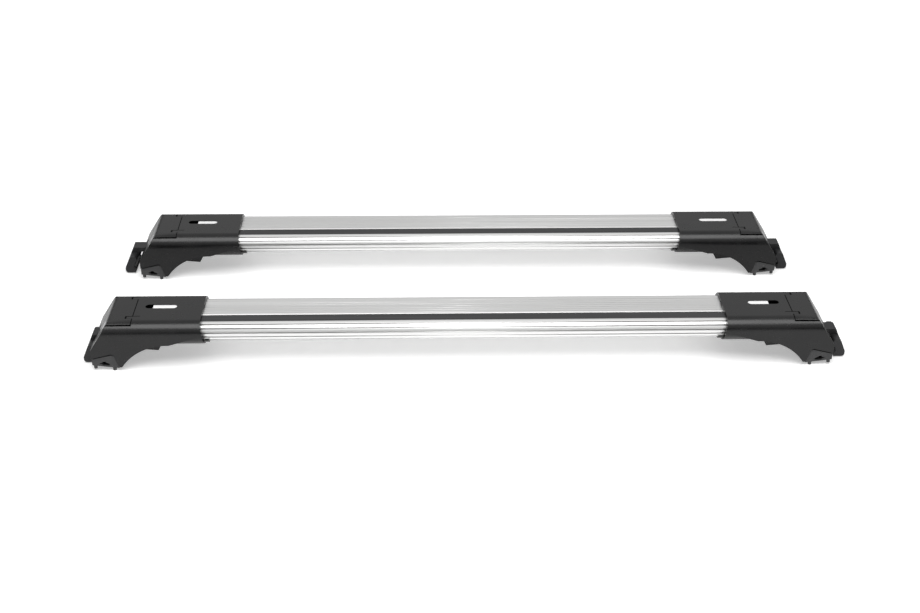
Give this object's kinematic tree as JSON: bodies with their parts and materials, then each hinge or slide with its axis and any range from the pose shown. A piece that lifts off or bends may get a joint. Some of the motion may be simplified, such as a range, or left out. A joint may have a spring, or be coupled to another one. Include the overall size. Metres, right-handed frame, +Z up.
{
  "type": "pair of roof crossbars",
  "caption": "Two silver wing-section roof bars on black clamp feet with sliding sleeves, hinged lockable hatches and screw-drawn jaws that grip a side rail.",
  "frame": {"origin": "centre of the pair's footprint, on the surface that it stands on", "axes": "+X along the bars, +Y from the front bar to the rear bar, +Z up"},
  "size_m": [1.0314, 0.331, 0.07],
  "materials": {
    "bar_aluminium": "satin anodised",
    "black_plastic": "fine moulded texture",
    "black_rubber": "matte",
    "white_label": "satin film",
    "steel": "zinc plated",
    "lock_metal": "polished",
    "jaw_metal": "black powder coat"
  },
  "bodies": {
    "bars": {"front_bar": "bar_aluminium", "front_bar_strip": "black_rubber", "front_bar_labels": "white_label", "rear_bar": "bar_aluminium", "rear_bar_strip": "black_rubber", "rear_bar_labels": "white_label"},
    "front_left_foot": {"front_left_foot_housing": "black_plastic", "front_left_hinge_pin": "steel", "front_left_bolt_bracket": "steel", "front_left_saddle_pad": "black_rubber", "front_left_bar_clamp": "black_plastic", "front_left_bar_clamp_screw": "steel"},
    "front_left_hatch_lid": {"front_left_hatch": "black_plastic"},
    "front_left_lock": {"front_left_lock_barrel": "lock_metal", "front_left_lock_cam": "steel"},
    "front_left_jaw": {"front_left_clamp_jaw": "jaw_metal", "front_left_clamp_nut": "steel", "front_left_jaw_pad": "black_rubber"},
    "front_left_bolt": {"front_left_clamp_bolt": "steel"},
    "front_right_foot": {"front_right_foot_housing": "black_plastic", "front_right_hinge_pin": "steel", "front_right_bolt_bracket": "steel", "front_right_saddle_pad": "black_rubber", "front_right_bar_clamp": "black_plastic", "front_right_bar_clamp_screw": "steel"},
    "front_right_hatch_lid": {"front_right_hatch": "black_plastic"},
    "front_right_lock": {"front_right_lock_barrel": "lock_metal", "front_right_lock_cam": "steel"},
    "front_right_jaw": {"front_right_clamp_jaw": "jaw_metal", "front_right_clamp_nut": "steel", "front_right_jaw_pad": "black_rubber"},
    "front_right_bolt": {"front_right_clamp_bolt": "steel"},
    "rear_left_foot": {"rear_left_foot_housing": "black_plastic", "rear_left_hinge_pin": "steel", "rear_left_bolt_bracket": "steel", "rear_left_saddle_pad": "black_rubber", "rear_left_bar_clamp": "black_plastic", "rear_left_bar_clamp_screw": "steel"},
    "rear_left_hatch_lid": {"rear_left_hatch": "black_plastic"},
    "rear_left_lock": {"rear_left_lock_barrel": "lock_metal", "rear_left_lock_cam": "steel"},
    "rear_left_jaw": {"rear_left_clamp_jaw": "jaw_metal", "rear_left_clamp_nut": "steel", "rear_left_jaw_pad": "black_rubber"},
    "rear_left_bolt": {"rear_left_clamp_bolt": "steel"},
    "rear_right_foot": {"rear_right_foot_housing": "black_plastic", "rear_right_hinge_pin": "steel", "rear_right_bolt_bracket": "steel", "rear_right_saddle_pad": "black_rubber", "rear_right_bar_clamp": "black_plastic", "rear_right_bar_clamp_screw": "steel"},
    "rear_right_hatch_lid": {"rear_right_hatch": "black_plastic"},
    "rear_right_lock": {"rear_right_lock_barrel": "lock_metal", "rear_right_lock_cam": "steel"},
    "rear_right_jaw": {"rear_right_clamp_jaw": "jaw_metal", "rear_right_clamp_nut": "steel", "rear_right_jaw_pad": "black_rubber"},
    "rear_right_bolt": {"rear_right_clamp_bolt": "steel"}
  },
  "joints": [
    {"name": "front_left_foot_slide", "type": "slide", "parent": "bars", "child": "front_left_foot", "axis": [-1, 0, 0], "range_m": [-0.005, 0.028]},
    {"name": "front_left_hatch_hinge", "type": "hinge", "parent": "front_left_foot", "child": "front_left_hatch_lid", "pos_m": [-0.44985, -0.1215, 0.068], "axis": [0, 1, 0], "range_deg": [0, 100]},
    {"name": "front_left_lock_turn", "type": "hinge", "parent": "front_left_hatch_lid", "child": "front_left_lock", "pos_m": [-0.48159, -0.1465, 0.061], "axis": [-0.8387, 0, 0.5446], "range_deg": [0, 90]},
    {"name": "front_left_jaw_slide", "type": "slide", "parent": "front_left_foot", "child": "front_left_jaw", "axis": [-1, 0, 0], "range_m": [-0.0015, 0.0155]},
    {"name": "front_left_bolt_turn", "type": "hinge", "parent": "front_left_foot", "child": "front_left_bolt", "pos_m": [-0.47025, -0.1215, 0.05], "axis": [-1, 0, 0], "range_deg": [-438, 4470]},
    {"name": "front_right_foot_slide", "type": "slide", "parent": "bars", "child": "front_right_foot", "axis": [1, 0, 0], "range_m": [-0.005, 0.028]},
    {"name": "front_right_hatch_hinge", "type": "hinge", "parent": "front_right_foot", "child": "front_right_hatch_lid", "pos_m": [0.44235, -0.1215, 0.068], "axis": [0, -1, 0], "range_deg": [0, 100]},
    {"name": "front_right_lock_turn", "type": "hinge", "parent": "front_right_hatch_lid", "child": "front_right_lock", "pos_m": [0.47409, -0.1465, 0.061], "axis": [0.8387, 0, 0.5446], "range_deg": [-90, 0]},
    {"name": "front_right_jaw_slide", "type": "slide", "parent": "front_right_foot", "child": "front_right_jaw", "axis": [1, 0, 0], "range_m": [-0.009, 0.008]},
    {"name": "front_right_bolt_turn", "type": "hinge", "parent": "front_right_foot", "child": "front_right_bolt", "pos_m": [0.46275, -0.1215, 0.05], "axis": [1, 0, 0], "range_deg": [-2598, 2310]},
    {"name": "rear_left_foot_slide", "type": "slide", "parent": "bars", "child": "rear_left_foot", "axis": [-1, 0, 0], "range_m": [-0.005, 0.028]},
    {"name": "rear_left_hatch_hinge", "type": "hinge", "parent": "rear_left_foot", "child": "rear_left_hatch_lid", "pos_m": [-0.42685, 0.1215, 0.068], "axis": [0, 1, 0], "range_deg": [0, 100]},
    {"name": "rear_left_lock_turn", "type": "hinge", "parent": "rear_left_hatch_lid", "child": "rear_left_lock", "pos_m": [-0.45859, 0.0965, 0.061], "axis": [-0.8387, 0, 0.5446], "range_deg": [0, 90]},
    {"name": "rear_left_jaw_slide", "type": "slide", "parent": "rear_left_foot", "child": "rear_left_jaw", "axis": [-1, 0, 0], "range_m": [-0.013, 0.004]},
    {"name": "rear_left_bolt_turn", "type": "hinge", "parent": "rear_left_foot", "child": "rear_left_bolt", "pos_m": [-0.44725, 0.1215, 0.05], "axis": [-1, 0, 0], "range_deg": [-3750, 1158]},
    {"name": "rear_right_foot_slide", "type": "slide", "parent": "bars", "child": "rear_right_foot", "axis": [1, 0, 0], "range_m": [-0.004, 0.028]},
    {"name": "rear_right_hatch_hinge", "type": "hinge", "parent": "rear_right_foot", "child": "rear_right_hatch_lid", "pos_m": [0.41935, 0.1215, 0.068], "axis": [0, -1, 0], "range_deg": [0, 100]},
    {"name": "rear_right_lock_turn", "type": "hinge", "parent": "rear_right_hatch_lid", "child": "rear_right_lock", "pos_m": [0.4511, 0.0965, 0.061], "axis": [0.8387, 0, 0.5446], "range_deg": [-90, 0]},
    {"name": "rear_right_jaw_slide", "type": "slide", "parent": "rear_right_foot", "child": "rear_right_jaw", "axis": [1, 0, 0], "range_m": [-0.009, 0.008]},
    {"name": "rear_right_bolt_turn", "type": "hinge", "parent": "rear_right_foot", "child": "rear_right_bolt", "pos_m": [0.43975, 0.1215, 0.05], "axis": [1, 0, 0], "range_deg": [-2598, 2310]}
  ],
  "couplings": [
    {"joint": "front_left_bolt_turn", "follows": "front_left_jaw_slide", "rad_per_m": 5026.5},
    {"joint": "front_right_bolt_turn", "follows": "front_right_jaw_slide", "rad_per_m": 5026.5},
    {"joint": "rear_left_bolt_turn", "follows": "rear_left_jaw_slide", "rad_per_m": 5026.5},
    {"joint": "rear_right_bolt_turn", "follows": "rear_right_jaw_slide", "rad_per_m": 5026.5}
  ]
}
